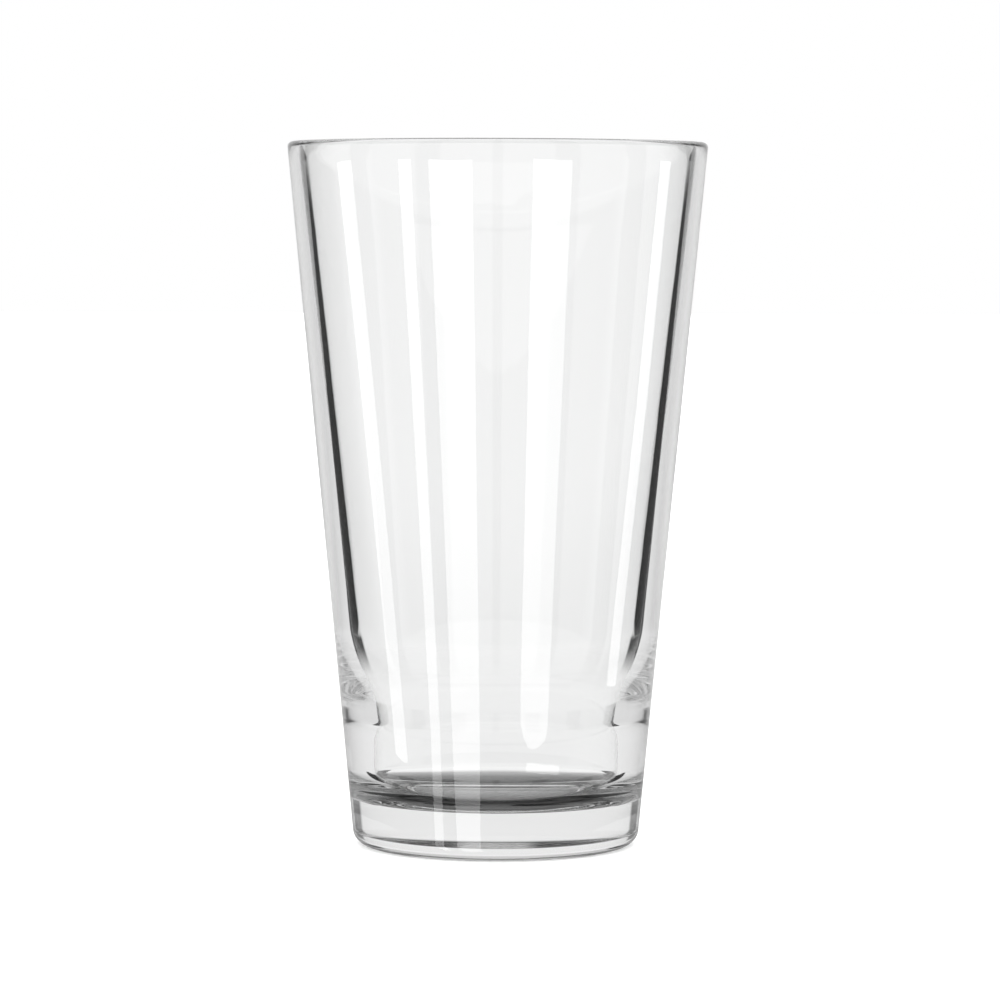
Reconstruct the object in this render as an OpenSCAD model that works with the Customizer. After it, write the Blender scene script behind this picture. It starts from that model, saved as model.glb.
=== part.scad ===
// Mixing glass: a tapered bar glass of 16 US fl oz, pressed from one piece of clear glass.
// The origin is the middle of the face that it stands on, and +Z is up. Millimetres.

/* [Outside] */
// Overall height
height = 149.2; // [130:0.1:170]
// Outside diameter of the mouth
mouth_d = 88.9; // [84:0.1:96]
// Outside diameter of the foot, where the line of the wall meets the table
foot_d = 60.3; // [58:0.1:66]
// Radius of the heel, where the wall turns under
heel_r = 3.6; // [1.5:0.1:5]

/* [Wall] */
// Thickness of the round rim
rim_d = 2.3; // [1.8:0.1:3.2]
// Wall thickness at the top of the stacking shoulder, measured level
lower_wall = 3.9; // [3.2:0.1:5]

/* [Stacking shoulder] */
// Height at which the bore starts to close in
shoulder_top = 40.8; // [38:0.1:60]
// Height at which the bore has closed in to the well
shoulder_bottom = 26; // [24:0.1:30]
// Diameter of the well below the shoulder
well_d = 51.7; // [46:0.1:53]
// How far from the shoulder's top corner its softening reaches
top_ease = 6; // [1:0.5:7]
// How far from the shoulder's bottom corner its softening reaches
bottom_ease = 2; // [0.5:0.5:3]

/* [Base] */
// Thickness of the glass under the middle of the well
floor_t = 9.7; // [7:0.1:11]
// Radius between the well's side and its floor
well_fillet_r = 7.6; // [3:0.1:9]
// Inner diameter of the ring that the glass stands on
bearing_inner_d = 45; // [36:0.5:47]
// Height of the shallow recess inside that ring
push_up = 0.8; // [0.3:0.1:1.5]
// Distance over which the recess rises from the ring
push_up_run = 4; // [2:0.5:8]

/* [Hidden] */
$fn = 180;
glass_colour = [0.86, 0.93, 0.92, 0.45];
arc_steps = 10;
curve_steps = 12;

mouth_r = mouth_d / 2;
foot_r = foot_d / 2;
well_r = well_d / 2;
bearing_inner_r = bearing_inner_d / 2;

// The rim is a circle, and both faces of the wall touch it
rim_r = rim_d / 2;
rim_centre = [mouth_r - rim_r, height - rim_r];
function lean(from) = atan2(rim_centre[0] - from[0], rim_centre[1] - from[1]);
function tangent_turn(from) = asin(rim_r / norm(rim_centre - from));

// The outer face leans out from the foot, and the bore from the top of the stacking shoulder
wall_foot = [foot_r, 0];
wall_lean = lean(wall_foot) + tangent_turn(wall_foot);
function outer_r(z) = foot_r + tan(wall_lean) * z;
bore_foot = [outer_r(shoulder_top) - lower_wall, shoulder_top];
bore_lean = lean(bore_foot) - tangent_turn(bore_foot);

// The heel is a circle that touches the outer face and the table
heel_centre = [outer_r(heel_r) - heel_r / cos(wall_lean), heel_r];

// Points of an arc round a centre
function arc(centre, r, from, to) =
    [for (i = [0:arc_steps])
        let (a = from + (to - from) * i / arc_steps)
        centre + r * [cos(a), sin(a)]];

// The point at this distance from one point towards another
function towards(from, to, distance) = from + (to - from) * distance / norm(to - from);

// Points of a curve that leaves one line and joins another, and softens the corner where they meet
function softened(from, corner, to) =
    [for (i = [0:curve_steps])
        let (t = i / curve_steps)
        (1 - t)^2 * from + 2 * t * (1 - t) * corner + t^2 * to];

// The stacking shoulder: a cone between the well and the wall, with both of its corners softened
function shoulder() =
    let (low = [well_r, shoulder_bottom], up_the_bore = bore_foot + [tan(bore_lean), 1] * shoulder_top)
    concat(
        softened(low - [0, bottom_ease], low, towards(low, bore_foot, bottom_ease)),
        softened(towards(bore_foot, low, top_ease), bore_foot,
                 towards(bore_foot, up_the_bore, top_ease)));

// The edge of the recess underneath: level at the bearing ring and level again at the recess's roof
function recess_edge() =
    [for (i = [0:curve_steps])
        let (t = i / curve_steps)
        [bearing_inner_r - push_up_run * t, push_up * t^2 * (3 - 2 * t)]];

// One half of the glass cut through its axis, from the middle of the well, over the rim and
// down the outside to the middle of the underside
function half_section() = concat(
    [[0, floor_t]],
    arc([well_r - well_fillet_r, floor_t + well_fillet_r], well_fillet_r, -90, 0),
    shoulder(),
    arc(rim_centre, rim_r, 180 - bore_lean, -wall_lean),
    arc(heel_centre, heel_r, -wall_lean, -90),
    recess_edge(),
    [[0, push_up]]);

// The whole glass: foot, well, stacking shoulder, wall and fire-polished rim
module tumbler() {
    color(glass_colour)
        rotate_extrude() polygon(half_section());
}

tumbler();
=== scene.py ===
"""Looks of a bar mixing glass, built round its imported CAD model.

The glass is one pressed piece, so it is one turned mesh: its half section is worked out from a few
sizes, Geometry Nodes turn it round the axis and add the ripple of the pressed bore and the stippling
of the ring that it stands on. Metres, +Z up, standing on the plane z = 0.
"""

import math
from collections import namedtuple

import bmesh
import bpy
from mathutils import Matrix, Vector


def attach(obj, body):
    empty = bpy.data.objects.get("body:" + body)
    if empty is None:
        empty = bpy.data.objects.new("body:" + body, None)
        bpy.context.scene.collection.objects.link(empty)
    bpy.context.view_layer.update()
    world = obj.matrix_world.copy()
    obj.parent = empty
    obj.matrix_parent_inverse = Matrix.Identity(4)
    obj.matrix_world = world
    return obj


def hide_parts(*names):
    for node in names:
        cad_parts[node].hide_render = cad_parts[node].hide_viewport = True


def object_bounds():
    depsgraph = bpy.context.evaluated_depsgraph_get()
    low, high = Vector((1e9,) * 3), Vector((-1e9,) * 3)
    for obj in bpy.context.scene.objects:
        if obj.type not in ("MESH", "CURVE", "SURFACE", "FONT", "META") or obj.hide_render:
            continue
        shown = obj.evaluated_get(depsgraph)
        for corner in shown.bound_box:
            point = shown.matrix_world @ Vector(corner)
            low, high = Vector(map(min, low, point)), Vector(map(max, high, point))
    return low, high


bl_info = {
    "name": "Mixing glass",
    "version": (1, 0, 0),
    "blender": (4, 5, 0),
    "location": "3D View > Sidebar > Mixing glass",
    "description": "Makes a pressed bar mixing glass and a plain studio for it",
    "category": "Object",
}

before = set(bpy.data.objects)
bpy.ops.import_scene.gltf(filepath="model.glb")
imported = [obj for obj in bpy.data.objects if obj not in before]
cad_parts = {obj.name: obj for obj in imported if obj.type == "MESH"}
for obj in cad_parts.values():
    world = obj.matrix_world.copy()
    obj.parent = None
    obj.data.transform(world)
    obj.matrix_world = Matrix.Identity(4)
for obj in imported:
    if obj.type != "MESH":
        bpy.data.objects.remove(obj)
CAD_LOW, CAD_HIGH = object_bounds()
MM = 0.001


# Sizes -------------------------------------------------------------------------------------------

def length(name, description, default, **limits):
    """A size in metres, shown in the scene's unit."""
    return bpy.props.FloatProperty(
        name=name, description=description, default=default, min=0.0, precision=5,
        subtype="DISTANCE", unit="LENGTH", **limits)


def angle(name, description, default):
    """An angle in radians, shown in degrees."""
    return bpy.props.FloatProperty(
        name=name, description=description, default=default, subtype="ANGLE", unit="ROTATION")


def colour(name, description, default):
    """A linear RGB colour."""
    return bpy.props.FloatVectorProperty(
        name=name, description=description, default=default, size=3, min=0.0, max=1.0,
        subtype="COLOR")


class TumblerSizes(bpy.types.PropertyGroup):
    """The glass's own sizes, the same ones that the CAD model is built from"""

    height: length("Height", "Overall height", CAD_HIGH.z - CAD_LOW.z)
    mouth: length("Mouth", "Outside diameter of the mouth", CAD_HIGH.x - CAD_LOW.x)
    foot: length("Foot", "Outside diameter that the wall line reaches at the table", 60.3 * MM)
    heel: length("Heel radius", "Radius where the wall turns under", 3.6 * MM)
    rim: length("Rim", "Thickness of the round rim", 2.3 * MM)
    lower_wall: length("Lower wall", "Wall thickness above the stacking shoulder", 3.9 * MM)
    shoulder_top: length("Shoulder top", "Height where the bore starts to close in", 40.8 * MM)
    shoulder_low: length("Shoulder foot", "Height where the bore has closed in", 26 * MM)
    top_ease: length("Top ease", "How far the softening of the shoulder's top corner reaches", 6 * MM)
    low_ease: length("Low ease", "How far the softening of its bottom corner reaches", 2 * MM)
    well: length("Well", "Diameter of the well below the shoulder", 51.7 * MM)
    floor: length("Floor", "Thickness of glass under the well", 9.7 * MM)
    fillet: length("Well fillet", "Radius between the well's side and floor", 7.6 * MM)
    ring: length("Bearing ring", "Inner diameter of the ring underneath", 45 * MM)
    recess: length("Recess", "Height of the recess inside the ring", 0.8 * MM)
    recess_run: length("Recess run", "Distance over which the recess rises", 4 * MM)
    segments: bpy.props.IntProperty(
        name="Segments", description="Steps round the axis", default=360, min=24, max=720)


class TumblerFinish(bpy.types.PropertyGroup):
    """The glass's colour and the marks that pressing leaves on it"""

    tint: colour("Tint", "Colour that the glass passes", (0.99, 0.992, 0.991))
    index: bpy.props.FloatProperty(
        name="Refractive index", description="Soda-lime glass", default=1.52, min=1.0, max=2.0)
    ripple: length("Ripple", "Depth of the ripple on the bore", 0.02 * MM)
    ripple_size: length("Ripple size", "Width of one ripple", 22 * MM)
    stipple: length("Stipple", "Depth of the stippling on the bearing ring", 0.12 * MM)
    stipple_size: length("Stipple size", "Width of one bump of the stippling", 1.3 * MM)
    seed: bpy.props.IntProperty(name="Seed", description="Seed of both marks", default=7)


class StudioSetup(bpy.types.PropertyGroup):
    """The floor, the light and the camera"""

    floor: colour("Floor", "Colour of the floor", (0.9, 0.9, 0.9))
    room_light: bpy.props.FloatProperty(
        name="Room light", description="Light of the surround on the floor", default=2.0, min=0.0)
    room_dark: bpy.props.FloatProperty(
        name="Room dark", description="Light of the room's unlit walls", default=0.05, min=0.0)
    strip_light: bpy.props.FloatProperty(
        name="Strip light", description="Strength of the strips' light", default=3.0, min=0.0)
    camera_distance: length("Camera distance", "From the glass's axis", 955 * MM)
    camera_height: length("Camera height", "Above the table", 130.8 * MM)
    aim_height: length("Aim height", "Height of the point looked at", 73.35 * MM)
    aim_side: bpy.props.FloatProperty(
        name="Aim side", description="Sideways from the axis", default=0.7 * MM,
        subtype="DISTANCE", unit="LENGTH")
    roll: angle("Roll", "Camera's turn about its own line of sight", math.radians(0.178))
    lens: bpy.props.FloatProperty(
        name="Focal length", description="On a 36 mm sensor", default=162.1, min=10.0,
        subtype="DISTANCE_CAMERA", unit="CAMERA")


# Half section ------------------------------------------------------------------------------------

def arc(centre, radius, start, end, steps):
    """Points (r, z) of an arc, angles in radians from the +r direction."""
    turns = [start + (end - start) * i / steps for i in range(steps + 1)]
    return [(centre[0] + radius * math.cos(t), centre[1] + radius * math.sin(t)) for t in turns]


def line(start, end, steps):
    """Points (r, z) between two points, both left out."""
    return [(start[0] + (end[0] - start[0]) * i / steps, start[1] + (end[1] - start[1]) * i / steps)
            for i in range(1, steps)]


def towards(start, end, distance):
    """The point at this distance from start on the way to end."""
    share = distance / math.dist(start, end)
    return tuple(a + (b - a) * share for a, b in zip(start, end))


def softened(start, corner, end, steps):
    """Points (r, z) of a curve from start to end that softens the corner where two lines meet."""
    shares = [i / steps for i in range(steps + 1)]
    return [tuple((1 - t) ** 2 * a + 2 * t * (1 - t) * b + t * t * c
                  for a, b, c in zip(start, corner, end)) for t in shares]


# Steps that each stretch and bend of the half section is drawn in
STEPS = {"floor": 8, "fillet": 22, "well": 6, "low bend": 12, "shoulder": 14, "top bend": 20,
         "bore": 60, "rim": 22, "wall": 44, "heel": 22, "ring": 10, "recess edge": 12, "recess": 6}


def section_stretches(sizes):
    """The half section as named stretches of (r, z) points.

    It runs from the middle of the well, over the rim and down the outside to the middle underneath."""
    rim_r = sizes.rim / 2
    rim_centre = (sizes.mouth / 2 - rim_r, sizes.height - rim_r)

    def lean(foot, side):
        across, up = rim_centre[0] - foot[0], rim_centre[1] - foot[1]
        return math.atan2(across, up) + side * math.asin(rim_r / math.hypot(across, up))

    wall_lean = lean((sizes.foot / 2, 0.0), 1)

    def outer_r(z):
        return sizes.foot / 2 + math.tan(wall_lean) * z

    bore_foot = (outer_r(sizes.shoulder_top) - sizes.lower_wall, sizes.shoulder_top)
    bore_lean = lean(bore_foot, -1)
    heel_centre = (outer_r(sizes.heel) - sizes.heel / math.cos(wall_lean), sizes.heel)
    well_r, ring_r = sizes.well / 2, sizes.ring / 2
    fillet_centre = (well_r - sizes.fillet, sizes.floor + sizes.fillet)
    quarter = math.pi / 2

    low = (well_r, sizes.shoulder_low)
    up_the_bore = (bore_foot[0] + math.tan(bore_lean) * sizes.height, bore_foot[1] + sizes.height)
    low_bend = softened((well_r, low[1] - sizes.low_ease), low,
                        towards(low, bore_foot, sizes.low_ease), STEPS["low bend"])
    top_bend = softened(towards(bore_foot, low, sizes.top_ease), bore_foot,
                        towards(bore_foot, up_the_bore, sizes.top_ease), STEPS["top bend"])
    rises = [i / STEPS["recess edge"] for i in range(STEPS["recess edge"] + 1)]
    recess_edge = [(ring_r - sizes.recess_run * t, sizes.recess * t * t * (3 - 2 * t)) for t in rises]
    fillet = arc(fillet_centre, sizes.fillet, -quarter, 0.0, STEPS["fillet"])
    rim = arc(rim_centre, rim_r, math.pi - bore_lean, -wall_lean, STEPS["rim"])
    heel = arc(heel_centre, sizes.heel, -wall_lean, -quarter, STEPS["heel"])
    well_middle, roof_middle = (0.0, sizes.floor), (0.0, sizes.recess)
    return [
        ("floor", [well_middle] + line(well_middle, fillet[0], STEPS["floor"])),
        ("well", fillet + line(fillet[-1], low_bend[0], STEPS["well"]) + low_bend),
        ("shoulder", line(low_bend[-1], top_bend[0], STEPS["shoulder"]) + top_bend),
        ("bore", line(top_bend[-1], rim[0], STEPS["bore"])),
        ("rim", rim),
        ("wall", line(rim[-1], heel[0], STEPS["wall"])),
        ("heel", heel),
        ("ring", line(heel[-1], recess_edge[0], STEPS["ring"])),
        ("recess", recess_edge + line(recess_edge[-1], roof_middle, STEPS["recess"])),
        ("under", [roof_middle]),
    ]


# How much of each mark a stretch of the half section has
RIPPLE_ON = {"floor": 0.3, "well": 0.6, "shoulder": 1.0, "bore": 1.0}
STIPPLE_ON = {"ring": 1.0}


def section_object(sizes):
    """A line of vertices along the half section, in the XZ plane, with the marks' masks on it."""
    points, ripple, stipple = [], [], []
    for stretch, places in section_stretches(sizes):
        for r, z in places:
            points.append((r, 0.0, z))
            ripple.append(RIPPLE_ON.get(stretch, 0.0))
            stipple.append(STIPPLE_ON.get(stretch, 0.0))
    mesh = bpy.data.meshes.new("glass_section")
    mesh.from_pydata(points, [(i, i + 1) for i in range(len(points) - 1)], [])
    for name, values in (("ripple", ripple), ("stipple", stipple)):
        mesh.attributes.new(name, "FLOAT", "POINT").data.foreach_set("value", values)
    section = bpy.data.objects.new("glass_section", mesh)
    bpy.context.scene.collection.objects.link(section)
    return section


# Node helpers ------------------------------------------------------------------------------------

def add_node(tree, kind, inputs=None, **settings):
    """A node with its settings made, and its inputs linked or set by name or number."""
    node = tree.nodes.new(kind)
    for name, value in settings.items():
        setattr(node, name, value)
    for key, value in (inputs or {}).items():
        if isinstance(value, bpy.types.NodeSocket):
            tree.links.new(value, node.inputs[key])
        else:
            node.inputs[key].default_value = value
    return node


def maths(tree, operation, *values):
    """The output of a Math node."""
    return add_node(tree, "ShaderNodeMath", dict(enumerate(values)), operation=operation).outputs[0]


def vector_maths(tree, operation, *values):
    """The vector output of a Vector Math node."""
    node = add_node(tree, "ShaderNodeVectorMath", dict(enumerate(values)), operation=operation)
    return node.outputs[0]


# Turning the section -----------------------------------------------------------------------------

MERGE_DISTANCE = 1e-6
# Ripples are longer up the wall than round it, and the stippling is even
RIPPLE_STRETCH = (1.0, 1.0, 0.45)
STIPPLE_STRETCH = (1.0, 1.0, 1.0)


def turning_tree():
    """Geometry Nodes that turn a section line round +Z and press the marks into its surface."""
    tree = bpy.data.node_groups.new("Turned glass", "GeometryNodeTree")
    face = tree.interface
    face.new_socket("Geometry", in_out="INPUT", socket_type="NodeSocketGeometry")
    for name, kind in (("Segments", "Int"), ("Ripple", "Float"), ("Ripple size", "Float"),
                       ("Stipple", "Float"), ("Stipple size", "Float"), ("Seed", "Int"),
                       ("Glass", "Material")):
        face.new_socket(name, in_out="INPUT", socket_type="NodeSocket" + kind)
    face.new_socket("Geometry", in_out="OUTPUT", socket_type="NodeSocketGeometry")
    given = tree.nodes.new("NodeGroupInput").outputs
    section = given["Geometry"]

    def along_section(value, data_type, column):
        node = add_node(tree, "GeometryNodeSampleIndex",
                        {"Geometry": section, "Value": value, "Index": column},
                        data_type=data_type, domain="POINT")
        return node.outputs[0]

    def mask(name):
        node = add_node(tree, "GeometryNodeInputNamedAttribute", {"Name": name}, data_type="FLOAT")
        return node.outputs["Attribute"]

    count = add_node(tree, "GeometryNodeAttributeDomainSize", {"Geometry": section})
    rows = maths(tree, "ADD", given["Segments"], 1.0)
    grid = add_node(tree, "GeometryNodeMeshGrid",
                    {"Vertices X": count.outputs["Point Count"], "Vertices Y": rows})
    index = tree.nodes.new("GeometryNodeInputIndex").outputs[0]
    column = maths(tree, "FLOOR", maths(tree, "DIVIDE", maths(tree, "ADD", index, 0.5), rows))
    row = maths(tree, "SUBTRACT", index, maths(tree, "MULTIPLY", column, rows))
    turn = maths(tree, "DIVIDE", maths(tree, "MULTIPLY", row, math.tau), given["Segments"])

    here = tree.nodes.new("GeometryNodeInputPosition").outputs[0]
    point = add_node(tree, "ShaderNodeSeparateXYZ",
                     {0: along_section(here, "FLOAT_VECTOR", column)}).outputs
    place = add_node(tree, "ShaderNodeCombineXYZ",
                     {"X": maths(tree, "MULTIPLY", point["X"], maths(tree, "COSINE", turn)),
                      "Y": maths(tree, "MULTIPLY", point["X"], maths(tree, "SINE", turn)),
                      "Z": point["Z"]}).outputs[0]
    body = grid.outputs["Mesh"]
    for name in ("ripple", "stipple"):
        body = add_node(tree, "GeometryNodeStoreNamedAttribute",
                        {"Geometry": body, "Name": name,
                         "Value": along_section(mask(name), "FLOAT", column)},
                        data_type="FLOAT", domain="POINT").outputs[0]
    body = add_node(tree, "GeometryNodeSetPosition",
                    {"Geometry": body, "Position": place}).outputs[0]
    body = add_node(tree, "GeometryNodeMergeByDistance",
                    {"Geometry": body, "Distance": MERGE_DISTANCE}).outputs[0]

    def marks(size, stretch, detail):
        across = vector_maths(tree, "MULTIPLY", here, stretch)
        node = add_node(tree, "ShaderNodeTexNoise",
                        {"Vector": across, "W": given["Seed"],
                         "Scale": maths(tree, "DIVIDE", 1.0, size), "Detail": detail},
                        noise_dimensions="4D")
        return node.outputs[0]

    swell = maths(tree, "SUBTRACT", marks(given["Ripple size"], RIPPLE_STRETCH, detail=2.0), 0.5)
    ripple = maths(tree, "MULTIPLY", swell, maths(tree, "MULTIPLY", given["Ripple"], mask("ripple")))
    pits = maths(tree, "MULTIPLY", marks(given["Stipple size"], STIPPLE_STRETCH, detail=1.0), -1.0)
    stipple = maths(tree, "MULTIPLY", pits, maths(tree, "MULTIPLY", given["Stipple"], mask("stipple")))
    normal = tree.nodes.new("GeometryNodeInputNormal").outputs[0]
    press = add_node(tree, "ShaderNodeVectorMath",
                     {0: normal, "Scale": maths(tree, "ADD", ripple, stipple)},
                     operation="SCALE").outputs[0]
    body = add_node(tree, "GeometryNodeSetPosition",
                    {"Geometry": body, "Offset": press}).outputs[0]
    body = add_node(tree, "GeometryNodeSetShadeSmooth", {"Geometry": body}).outputs[0]
    body = add_node(tree, "GeometryNodeRealizeInstances", {"Geometry": body}).outputs[0]
    body = add_node(tree, "GeometryNodeSetMaterial",
                    {"Geometry": body, "Material": given["Glass"]}).outputs[0]
    tree.links.new(body, tree.nodes.new("NodeGroupOutput").inputs["Geometry"])
    return tree


def evaluated_piece(base, tree, inputs, name):
    """A plain mesh object made by running the tree on base, which is then removed."""
    modifier = base.modifiers.new(tree.name, "NODES")
    modifier.node_group = tree
    sockets = {s.name: s.identifier for s in tree.interface.items_tree if s.in_out == "INPUT"}
    for socket, value in inputs.items():
        modifier[sockets[socket]] = value
    evaluated = base.evaluated_get(bpy.context.evaluated_depsgraph_get())
    mesh = bpy.data.meshes.new_from_object(evaluated)
    mesh.name = name
    base.modifiers.remove(modifier)
    bpy.data.objects.remove(base)
    piece = bpy.data.objects.new(name, mesh)
    bpy.context.scene.collection.objects.link(piece)
    return piece


def face_outwards(mesh):
    """Turns the faces of a closed mesh to point out of it."""
    work = bmesh.new()
    work.from_mesh(mesh)
    if work.calc_volume(signed=True) < 0:
        bmesh.ops.reverse_faces(work, faces=work.faces)
    open_edges = sum(1 for e in work.edges if len(e.link_faces) != 2)
    work.to_mesh(mesh)
    work.free()
    if open_edges:
        raise RuntimeError(f"{mesh.name} has {open_edges} open edges")


# Materials ---------------------------------------------------------------------------------------

STIPPLE_ROUGHNESS = 0.3


def new_material(name):
    """A material with a Principled node, and that node."""
    material = bpy.data.materials.new(name)
    material.use_nodes = True
    return material, material.node_tree.nodes["Principled BSDF"]


def clear_pressed_glass(finish):
    """Fire-polished soda-lime glass, clear apart from the stippled ring, with a faint skin ripple."""
    material, shader = new_material("clear_pressed_glass")
    tree = material.node_tree
    shader.inputs["Base Color"].default_value = (*finish.tint, 1.0)
    shader.inputs["IOR"].default_value = finish.index
    shader.inputs["Transmission Weight"].default_value = 1.0
    place = tree.nodes.new("ShaderNodeTexCoord").outputs["Object"]
    stippled = add_node(tree, "ShaderNodeAttribute", attribute_name="stipple").outputs["Fac"]
    skin = add_node(tree, "ShaderNodeTexNoise",
                    {"Vector": place, "Scale": 90.0, "Detail": 1.0}).outputs[0]
    tree.links.new(maths(tree, "MULTIPLY", stippled, STIPPLE_ROUGHNESS), shader.inputs["Roughness"])
    bump = add_node(tree, "ShaderNodeBump", {"Height": skin, "Strength": 0.05, "Distance": 0.0002})
    tree.links.new(bump.outputs[0], shader.inputs["Normal"])
    return material


def matt_paint(name, base):
    """A plain matt surface for the studio, with a faint unevenness."""
    material, shader = new_material(name)
    tree = material.node_tree
    place = tree.nodes.new("ShaderNodeTexCoord").outputs["Object"]
    grain = add_node(tree, "ShaderNodeTexNoise", {"Vector": place, "Scale": 40.0}).outputs[0]
    tone = add_node(tree, "ShaderNodeMapRange",
                    {"Value": grain, "To Min": 0.995, "To Max": 1.0}).outputs[0]
    mixed = add_node(tree, "ShaderNodeVectorMath", {0: base, "Scale": tone}, operation="SCALE")
    tree.links.new(mixed.outputs[0], shader.inputs["Base Color"])
    shader.inputs["Roughness"].default_value = 0.9
    shader.inputs["Specular IOR Level"].default_value = 0.1
    return material


# The glass ---------------------------------------------------------------------------------------

class MIXINGGLASS_OT_tumbler(bpy.types.Operator):
    """Makes the glass: foot, well, stacking shoulder, wall and rim, in one piece"""

    bl_idname = "mixing_glass.tumbler"
    bl_label = "Tumbler"

    def execute(self, context):
        sizes, finish = context.scene.tumbler_sizes, context.scene.tumbler_finish
        inputs = {
            "Segments": sizes.segments,
            "Ripple": finish.ripple,
            "Ripple size": finish.ripple_size,
            "Stipple": finish.stipple,
            "Stipple size": finish.stipple_size,
            "Seed": finish.seed,
            "Glass": clear_pressed_glass(finish),
        }
        piece = evaluated_piece(section_object(sizes), turning_tree(), inputs, "tumbler_glass")
        face_outwards(piece.data)
        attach(piece, "root")
        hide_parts("tumbler")
        return {"FINISHED"}


# Studio: shapes ----------------------------------------------------------------------------------

def stage_object(name, corners, faces, material):
    """A mesh object of the studio, which isn't part of the glass."""
    mesh = bpy.data.meshes.new(name)
    mesh.from_pydata(corners, [], faces)
    mesh.materials.append(material)
    card = bpy.data.objects.new(name, mesh)
    bpy.context.scene.collection.objects.link(card)
    return card


def sheet_object(name, width, material):
    """A square sheet on the table, centred on the axis and facing up."""
    half = width / 2
    corners = [(-half, -half, 0), (half, -half, 0), (half, half, 0), (-half, half, 0)]
    return stage_object(name, corners, [(0, 1, 2, 3)], material)


def on_circle(azimuth, distance, height):
    """A point at this azimuth, distance from the axis and height.

    Azimuth 0 is the camera's side, at -Y, and it grows towards +X."""
    return Vector((math.sin(azimuth) * distance, -math.cos(azimuth) * distance, height))


def band_object(name, distance, rungs, material):
    """A band of faces at this distance from the axis, between rungs of two (azimuth, height) ends."""
    corners = [on_circle(azimuth, distance, height) for rung in rungs for azimuth, height in rung]
    faces = [(2 * i, 2 * i + 1, 2 * i + 3, 2 * i + 2) for i in range(len(rungs) - 1)]
    return stage_object(name, corners, faces, material)


RING_STEPS = 96


def ring_object(name, distance, low, high, material):
    """An upright ring round the axis between two heights."""
    turns = [math.tau * i / RING_STEPS for i in range(RING_STEPS + 1)]
    return band_object(name, distance, [((turn, low), (turn, high)) for turn in turns], material)


def show_through_glass_only(card):
    """Hides a card from all but the light that has crossed the glass."""
    card.visible_camera = False
    card.visible_diffuse = False
    card.visible_glossy = False
    card.visible_shadow = False


# Studio: what light meets ------------------------------------------------------------------------

# Faces of glass that light crosses on its way: two for one wall or for the foot
ONE_WALL = 2
BOTH_WALLS = 4


def product(tree, *values):
    """All of the values multiplied together."""
    total = values[0]
    for value in values[1:]:
        total = maths(tree, "MULTIPLY", total, value)
    return total


def greatest(tree, *values):
    """The greatest of the values."""
    most = values[0]
    for value in values[1:]:
        most = maths(tree, "MAXIMUM", most, value)
    return most


def above(tree, value, limit):
    """1 where the value is above the limit, and 0 elsewhere."""
    return maths(tree, "GREATER_THAN", value, limit)


def below(tree, value, limit):
    """1 where the value is below the limit, and 0 elsewhere."""
    return maths(tree, "LESS_THAN", value, limit)


def more_than(tree, count, number):
    """1 where a whole count is above the number, and 0 elsewhere."""
    return above(tree, count, number + 0.5)


def at_most(tree, count, number):
    """1 where a whole count is the number or less, and 0 elsewhere."""
    return below(tree, count, number + 0.5)


def choose(tree, test, yes, no):
    """yes where the test is 1, no where it is 0, and a mixture of both between."""
    return add_node(tree, "ShaderNodeMix", {0: test, 2: no, 3: yes}).outputs[0]


def fading(tree, value, start, end, full=1.0):
    """full up to the start, nothing past the end, and a soft slope between them."""
    return add_node(tree, "ShaderNodeMapRange",
                    {"Value": value, "From Min": start, "From Max": end, "To Min": full,
                     "To Max": 0.0}, interpolation_type="SMOOTHSTEP").outputs[0]


def between(tree, value, low, high, soft):
    """1 where low < value < high, 0 elsewhere, with edges that are soft for this much each way."""
    middle, half = (low + high) / 2, (high - low) / 2
    off = maths(tree, "ABSOLUTE", maths(tree, "SUBTRACT", value, middle))
    return fading(tree, off, half - soft, half + soft)


def through_stops(tree, value, low, high, stops):
    """A brightness that runs through (value, brightness) stops, which lie between low and high."""
    share = add_node(tree, "ShaderNodeMapRange",
                     {"Value": value, "From Min": low, "From Max": high}).outputs[0]
    node = add_node(tree, "ShaderNodeValToRGB", {"Fac": share})
    elements = node.color_ramp.elements
    while len(elements) < len(stops):
        elements.new(0.5)
    for element, (place, _) in zip(elements, stops):
        element.position = (place - low) / (high - low)
    for element, (_, light) in zip(elements, stops):
        element.color = (light, light, light, 1.0)
    return node.outputs[0]


def by_elevation(tree, up, stops):
    """A brightness that runs through (degrees, brightness) stops from the nadir to the zenith."""
    return through_stops(tree, up, -90.0, 90.0, stops)


def light_counts(tree):
    """How often light was reflected, has crossed a face of glass and was scattered."""
    path = tree.nodes.new("ShaderNodeLightPath").outputs
    return path["Glossy Depth"], path["Transmission Depth"], path["Diffuse Depth"]


# Studio: the tent --------------------------------------------------------------------------------
#
# A clear glass shows nothing but its surround, so this one is fitted to the glass. It is no real
# room: what light meets here depends on how often the glass has reflected it and let it through.
# Angles are in degrees. A gap is given as (from, to, softness of its edges).

EIGHTH_TURN = 45.0

# Straight through the glass
HIGH_GAP_ROUND = (19.6, 34.0, 0.6)
HIGH_GAP_UP = (-11.5, -2.0, 0.7)
HIGH_GAP_LEAN = 0.8
HIGH_GAP_LEANS_FROM = -8.0
LOW_GAP_ROUND = (18.0, 36.0, 1.0)
LOW_GAP_UP = (-36.0, -11.0, 1.5)
FOOT_GAP_ROUND = (60.0, 74.0, 2.0)
FOOT_GAP_UP = (-3.0, 16.0, 1.0)
FOOT_GAP_DARKNESS = 0.75
THROUGH_STOPS = ((-62, 0.95), (-56, 0.15), (-49, 0.15), (-45, 0.95), (-15, 0.95), (-6, 0.97),
                 (-4.5, 1.03), (20, 1.03), (28, 0.2), (50, 0.2), (60, 0.9))
ONE_WALL_LIGHT = 0.85

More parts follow.
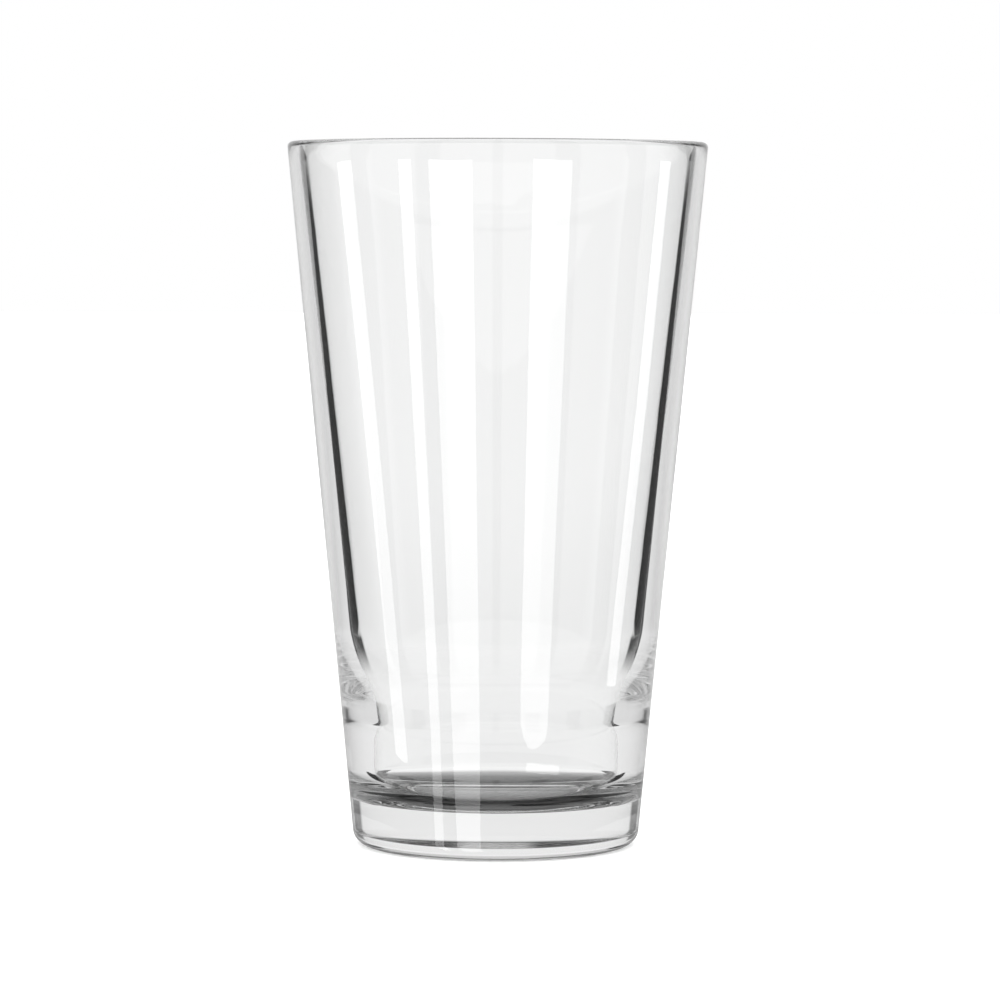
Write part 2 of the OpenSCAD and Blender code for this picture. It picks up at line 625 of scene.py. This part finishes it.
# Reflected once inside one wall
SIDE_GAPS_START = 27.0
SIDE_GAP_ROUND = (15.0, 30.0, 0.7)
SIDE_GAP_MIDDLE = 20.0
SIDE_GAP_NARROWING = 2.0
SIDE_GAP_NARROWS_FROM = -11.0
SIDE_GAPS_PAST = 30.0
SIDE_GAPS_TOP = -2.0
SIDE_DARK = 0.02
SIDE_LIGHT = 0.88

# Reflected off the outside
GRAZING_ROUND = (28.0, 50.0)
GRAZING_LIGHT = 0.8
GRAZING_STOPS = ((-9, 0.3), (-6, 1.0))
FRONT_STOPS = ((-90, 0.3), (-25, 0.2), (10, 0.12), (60, 0.6))

# Reflected inside the glass in any other way
PANEL_ROUND = (50.0, 70.0)
PANEL_STOPS = ((40, 0.0), (48, 0.9), (75, 0.9), (90, 0.6))
BESIDE_ROUND = (62.0, 100.0, 3.0)
BESIDE_UP = (-35.0, 42.0, 3.0)
BESIDE_LIGHT = 0.5
BESIDE_REFLECTIONS = 9
TABLE_STOPS = ((-14, 0.8), (-9, 0.0))
TABLE_RISE = 9.0
TABLE_RISES_AFTER = 4
OVERHEAD_UP = 10.0
TRAPPED_AFTER = 12
TRAPPED_UP = 36.0
BOUNCED_LIGHT = 0.8

Arrival = namedtuple("Arrival", "up azimuth off_axis reflected crossed scattered seen")


def arrival(tree):
    """Where in the surround a line of sight ends, in degrees, and what it met before that.

    Azimuth 0 is the camera's side, and off_axis is counted from straight behind the glass."""
    reflected, crossed, scattered = light_counts(tree)
    towards_here = tree.nodes.new("ShaderNodeTexCoord").outputs["Generated"]
    way = add_node(tree, "ShaderNodeSeparateXYZ", {0: towards_here}).outputs
    up = maths(tree, "DEGREES", maths(tree, "ARCSINE", way["Z"]))
    ahead = maths(tree, "MULTIPLY", way["Y"], -1.0)
    azimuth = maths(tree, "DEGREES", maths(tree, "ARCTAN2", way["X"], ahead))
    off_axis = maths(tree, "SUBTRACT", 180.0, maths(tree, "ABSOLUTE", azimuth))
    seen = tree.nodes.new("ShaderNodeLightPath").outputs["Is Camera Ray"]
    return Arrival(up, azimuth, off_axis, reflected, crossed, scattered, seen)


def light_straight_through(tree, here):
    """White, with gaps that draw the dark lines in the wall and the foot.

    It has a dark band high up too, and one far below."""
    leaning = product(tree, maths(tree, "SUBTRACT", here.up, HIGH_GAP_LEANS_FROM), HIGH_GAP_LEAN)
    off_quarter = maths(tree, "PINGPONG", here.azimuth, EIGHTH_TURN)
    high_gap = product(tree, between(tree, maths(tree, "ADD", off_quarter, leaning), *HIGH_GAP_ROUND),
                       between(tree, here.up, *HIGH_GAP_UP), more_than(tree, here.crossed, ONE_WALL))
    low_gap = product(tree, between(tree, here.off_axis, *LOW_GAP_ROUND),
                      between(tree, here.up, *LOW_GAP_UP))
    foot_gap = product(tree, between(tree, here.off_axis, *FOOT_GAP_ROUND),
                       between(tree, here.up, *FOOT_GAP_UP), at_most(tree, here.crossed, ONE_WALL),
                       FOOT_GAP_DARKNESS)
    open_share = maths(tree, "SUBTRACT", 1.0, greatest(tree, high_gap, low_gap, foot_gap))
    dimmed = choose(tree, at_most(tree, here.crossed, ONE_WALL), ONE_WALL_LIGHT, 1.0)
    return product(tree, open_share, by_elevation(tree, here.up, THROUGH_STOPS), dimmed)


def light_of_side(tree, here):
    """Pale, and low down with a dark gap in every eighth turn, which narrows upwards."""
    past_start = maths(tree, "SUBTRACT", here.off_axis, SIDE_GAPS_START)
    in_eighth = maths(tree, "FLOORED_MODULO", past_start, EIGHTH_TURN)
    rise = greatest(tree, 0.0, maths(tree, "SUBTRACT", here.up, SIDE_GAP_NARROWS_FROM))
    narrowing = product(tree, rise, SIDE_GAP_NARROWING, above(tree, in_eighth, SIDE_GAP_MIDDLE))
    gap = product(tree, between(tree, maths(tree, "ADD", in_eighth, narrowing), *SIDE_GAP_ROUND),
                  above(tree, here.off_axis, SIDE_GAPS_PAST), below(tree, here.up, SIDE_GAPS_TOP))
    return choose(tree, gap, SIDE_DARK, SIDE_LIGHT)


def light_of_front(tree, here):
    """Dim, and lighter in the reflections that graze the outside of the wall."""
    grazing = product(tree, fading(tree, here.off_axis, *GRAZING_ROUND, full=GRAZING_LIGHT),
                      by_elevation(tree, here.up, GRAZING_STOPS))
    return greatest(tree, grazing, by_elevation(tree, here.up, FRONT_STOPS))


def light_of_room(tree, here, dark):
    """Dark, with a panel high up behind the glass, one at each side of it, and the pale table.

    It is bright overhead for light reflected once, and below TRAPPED_UP after very many times."""
    panel = product(tree, fading(tree, here.off_axis, *PANEL_ROUND),
                    by_elevation(tree, here.up, PANEL_STOPS))
    beside = product(tree, between(tree, here.off_axis, *BESIDE_ROUND),
                     between(tree, here.up, *BESIDE_UP),
                     at_most(tree, here.reflected, BESIDE_REFLECTIONS), BESIDE_LIGHT)
    rise = product(tree, more_than(tree, here.reflected, TABLE_RISES_AFTER), TABLE_RISE)
    table = by_elevation(tree, maths(tree, "SUBTRACT", here.up, rise), TABLE_STOPS)
    overhead = product(tree, at_most(tree, here.reflected, 1), above(tree, here.up, OVERHEAD_UP))
    trapped = product(tree, more_than(tree, here.reflected, TRAPPED_AFTER),
                      below(tree, here.up, TRAPPED_UP))
    return choose(tree, greatest(tree, overhead, trapped), BOUNCED_LIGHT,
                  greatest(tree, panel, beside, table, dark))


def make_world(setup):
    """The tent that the glass sees, plain white to the camera and plain light on the floor."""
    world = bpy.data.worlds.new("studio_tent")
    world.use_nodes = True
    tree = world.node_tree
    here = arrival(tree)
    once_in_one_wall = product(tree, at_most(tree, here.reflected, 1),
                               at_most(tree, here.crossed, ONE_WALL))
    reflected_inside = choose(tree, once_in_one_wall, light_of_side(tree, here),
                              light_of_room(tree, here, setup.room_dark))
    reflected = choose(tree, at_most(tree, here.crossed, 0), light_of_front(tree, here),
                       reflected_inside)
    by_glass = choose(tree, more_than(tree, here.reflected, 0), reflected,
                      light_straight_through(tree, here))
    met_glass = more_than(tree, maths(tree, "ADD", here.reflected, here.crossed), 0)
    glass_only = product(tree, met_glass, at_most(tree, here.scattered, 0))
    elsewhere = choose(tree, here.seen, 1.0, setup.room_light)
    background = tree.nodes["Background"].inputs
    background["Color"].default_value = (1, 1, 1, 1)
    tree.links.new(choose(tree, glass_only, by_glass, elsewhere), background["Strength"])
    bpy.context.scene.world = world


# Studio: floor, cards and lamps ------------------------------------------------------------------

FLOOR_WIDTH = 12.0

# Brightness of what is seen through the sheet under the foot, by distance from the axis
SHADOW_REACH = 100 * MM
SHADOW_STOPS = ((0.0, 0.15), (20 * MM, 0.12), (27 * MM, 0.03), (30.5 * MM, 0.03), (31.5 * MM, 0.15),
                (34 * MM, 0.65), (60 * MM, 0.92), (SHADOW_REACH, 1.0))

# Brightness of what is seen through the ring close round the foot, by height
SHADE_R = 34 * MM
SHADE_LOW = 2 * MM
SHADE_TOP = 14.8 * MM
SHADE_STOPS = ((SHADE_LOW, 0.12), (9.5 * MM, 0.2), (12 * MM, 0.25), (13 * MM, 0.37), (14 * MM, 0.5),
               (SHADE_TOP, 1.0))

# The white ring further out, which glows as painted light seen only through the glass; it is whole up
# to one height and fades up to the next
SKIRT_R = 42 * MM
SKIRT_LOW = 15 * MM
SKIRT_WHOLE = 25 * MM
SKIRT_TOP = 36 * MM
SKIRT_LIGHT = 0.93

# Each lamp's rungs, from its top down or, in the short one, from left to right. A rung has two ends,
# each with its azimuth in degrees and its height in mm.
STRIPS = {
    "side_strip": (((-97, 50), (-86, 40)), ((-81.5, -210), (-70.5, -225))),
    "slim_strip": (((-55, 15), (-47.5, 10)), ((-49.5, -230), (-42, -235)), ((-49, -890), (-42, -840))),
    "broad_strip": (((-37.5, 5), (-13.5, -5)), ((-32.5, -240), (-12, -245)),
                    ((-31, -285), (-12, -290)), ((-32, -1100), (-12, -1100)),
                    ((-26, -1140), (-18, -1140))),
    "right_strip": (((19, 0), (40.5, 5)), ((17.5, -225), (38.5, -215)), ((18, -240), (38.5, -232)),
                    ((20, -245), (37, -239)), ((24, -247), (32, -244))),
    "short_strip": (((23, -254), (23, -259)), ((36, -249), (36, -254)), ((49, -242), (49, -247))),
    "far_strip": (((99, 55), (108, 65)), ((95, -50), (104.5, -40)), ((87, -175), (96.5, -165))),
}
STRIP_DISTANCE = 0.9
STRIP_STEPS = 8


def card_material(name):
    """A material with only an output, with its tree and the output's surface socket."""
    material = bpy.data.materials.new(name)
    material.use_nodes = True
    tree = material.node_tree
    tree.nodes.clear()
    return material, tree, tree.nodes.new("ShaderNodeOutputMaterial").inputs["Surface"]


def own_place(tree):
    """A point's place on its own object."""
    return tree.nodes.new("ShaderNodeTexCoord").outputs["Object"]


def own_height(tree):
    """A point's height on its own object."""
    return add_node(tree, "ShaderNodeSeparateXYZ", {0: own_place(tree)}).outputs["Z"]


def seen_through(tree, brightness):
    """A clear surface that dims what is behind it to this brightness."""
    return add_node(tree, "ShaderNodeBsdfTransparent", {"Color": brightness}).outputs[0]


def glow_over(tree, share, strength):
    """A surface that gives light over this share of it and is clear elsewhere."""
    lamp = add_node(tree, "ShaderNodeEmission", {"Color": (1, 1, 1, 1), "Strength": strength})
    return add_node(tree, "ShaderNodeMixShader",
                    {0: share, 1: seen_through(tree, (1, 1, 1, 1)), 2: lamp.outputs[0]}).outputs[0]


def make_floor(setup):
    """The pale floor, which the glass doesn't see because the tent has its own table."""
    floor = sheet_object("floor", FLOOR_WIDTH, matt_paint("pale_floor", setup.floor))
    floor.visible_glossy = False
    floor.visible_transmission = False


def make_contact_shadow():
    """A sheet on the table that dims what the glass shows of it, most of all under the heel."""
    material, tree, surface = card_material("contact_shadow")
    reach = add_node(tree, "ShaderNodeVectorMath", {0: own_place(tree)}, operation="LENGTH")
    light = through_stops(tree, reach.outputs["Value"], 0.0, SHADOW_REACH, SHADOW_STOPS)
    tree.links.new(seen_through(tree, light), surface)
    show_through_glass_only(sheet_object("contact_shadow", 2 * SHADOW_REACH, material))


def make_foot_shade():
    """A ring close round the foot that dims the light straight through both walls, low down more."""
    material, tree, surface = card_material("foot_shade")
    reflected, crossed, _ = light_counts(tree)
    through_both = product(tree, more_than(tree, crossed, BOTH_WALLS - 1), at_most(tree, reflected, 0))
    light = through_stops(tree, own_height(tree), 0.0, SHADE_TOP, SHADE_STOPS)
    tree.links.new(seen_through(tree, choose(tree, through_both, light, 1.0)), surface)
    show_through_glass_only(ring_object("foot_shade", SHADE_R, SHADE_LOW, SHADE_TOP, material))


def make_skirt():
    """A low ring round the foot that glows white, painted light seen only through the glass, and hides
    the tent from light reflected at most once.
    """
    material, tree, surface = card_material("skirt_card")
    reflected, _, _ = light_counts(tree)
    cover = through_stops(tree, own_height(tree), 0.0, SKIRT_TOP,
                          ((SKIRT_LOW, 1.0), (SKIRT_WHOLE, 1.0), (SKIRT_TOP, 0.0)))
    shown = product(tree, cover, at_most(tree, reflected, 1))
    tree.links.new(glow_over(tree, shown, SKIRT_LIGHT), surface)
    show_through_glass_only(ring_object("skirt_card", SKIRT_R, SKIRT_LOW, SKIRT_TOP, material))


def strip_rungs(ends):
    """Rungs in radians and metres, with STRIP_STEPS steps from each of these ends to the next."""
    rungs = []
    for upper, lower in zip(ends, ends[1:]):
        for step in range(STRIP_STEPS + 1):
            share = step / STRIP_STEPS
            rungs.append([(math.radians(a + (c - a) * share), (b + (d - b) * share) * MM)
                          for (a, b), (c, d) in zip(upper, lower)])
    return rungs


def make_strips(setup):
    """Narrow lamps round the camera that show only as streaks on the outside of the wall."""
    material, tree, surface = card_material("strip_light")
    reflected, crossed, _ = light_counts(tree)
    off_the_outside = product(tree, more_than(tree, reflected, 0), at_most(tree, crossed, 0))
    tree.links.new(glow_over(tree, off_the_outside, setup.strip_light), surface)
    for name, ends in STRIPS.items():
        strip = band_object(name, STRIP_DISTANCE, strip_rungs(ends), material)
        strip.visible_camera = False
        strip.visible_diffuse = False
        strip.visible_shadow = False


def make_camera(setup):
    """The camera, in front of the glass and a little below its rim."""
    camera = bpy.data.objects.new("camera", bpy.data.cameras.new("camera"))
    bpy.context.scene.collection.objects.link(camera)
    camera.data.lens = setup.lens
    camera.data.sensor_width = 36.0
    camera.data.clip_end = 50.0
    camera.location = (0.0, -setup.camera_distance, setup.camera_height)
    line_of_sight = Vector((setup.aim_side, 0.0, setup.aim_height)) - camera.location
    turn = line_of_sight.to_track_quat("-Z", "Y").to_euler()
    turn.rotate_axis("Z", setup.roll)
    camera.rotation_euler = turn
    bpy.context.scene.camera = camera


# Light is reflected many times inside the wall before it leaves
BOUNCES = 96


class MIXINGGLASS_OT_studio(bpy.types.Operator):
    """Makes the tent, the floor, the cards round the foot, the lamps and the camera"""

    bl_idname = "mixing_glass.studio"
    bl_label = "Studio"

    def execute(self, context):
        setup = context.scene.studio_setup
        make_world(setup)
        make_floor(setup)
        make_contact_shadow()
        make_foot_shade()
        make_skirt()
        make_strips(setup)
        make_camera(setup)
        context.scene.view_settings.view_transform = "Standard"
        context.scene.cycles.max_bounces = BOUNCES
        context.scene.cycles.glossy_bounces = BOUNCES
        context.scene.cycles.transmission_bounces = BOUNCES
        return {"FINISHED"}


# Add-on ------------------------------------------------------------------------------------------

class MIXINGGLASS_PT_panel(bpy.types.Panel):
    """Sizes, finish and studio, with a button for each thing made"""

    bl_label = "Mixing glass"
    bl_space_type = "VIEW_3D"
    bl_region_type = "UI"
    bl_category = "Mixing glass"

    def draw(self, context):
        scene = context.scene
        for group in (scene.tumbler_sizes, scene.tumbler_finish, scene.studio_setup):
            box = self.layout.box()
            for name in group.bl_rna.properties.keys():
                if name not in ("rna_type", "name"):
                    box.prop(group, name)
        self.layout.operator("mixing_glass.tumbler")
        self.layout.operator("mixing_glass.studio")


CLASSES = (TumblerSizes, TumblerFinish, StudioSetup, MIXINGGLASS_OT_tumbler,
           MIXINGGLASS_OT_studio, MIXINGGLASS_PT_panel)
GROUPS = {"tumbler_sizes": TumblerSizes, "tumbler_finish": TumblerFinish,
          "studio_setup": StudioSetup}


def register():
    for cls in CLASSES:
        bpy.utils.register_class(cls)
    for name, group in GROUPS.items():
        setattr(bpy.types.Scene, name, bpy.props.PointerProperty(type=group))


def unregister():
    for name in GROUPS:
        delattr(bpy.types.Scene, name)
    for cls in reversed(CLASSES):
        bpy.utils.unregister_class(cls)


def main():
    """Makes the glass and its studio."""
    register()
    bpy.ops.mixing_glass.tumbler()
    bpy.ops.mixing_glass.studio()


if __name__ == "__main__":
    main()
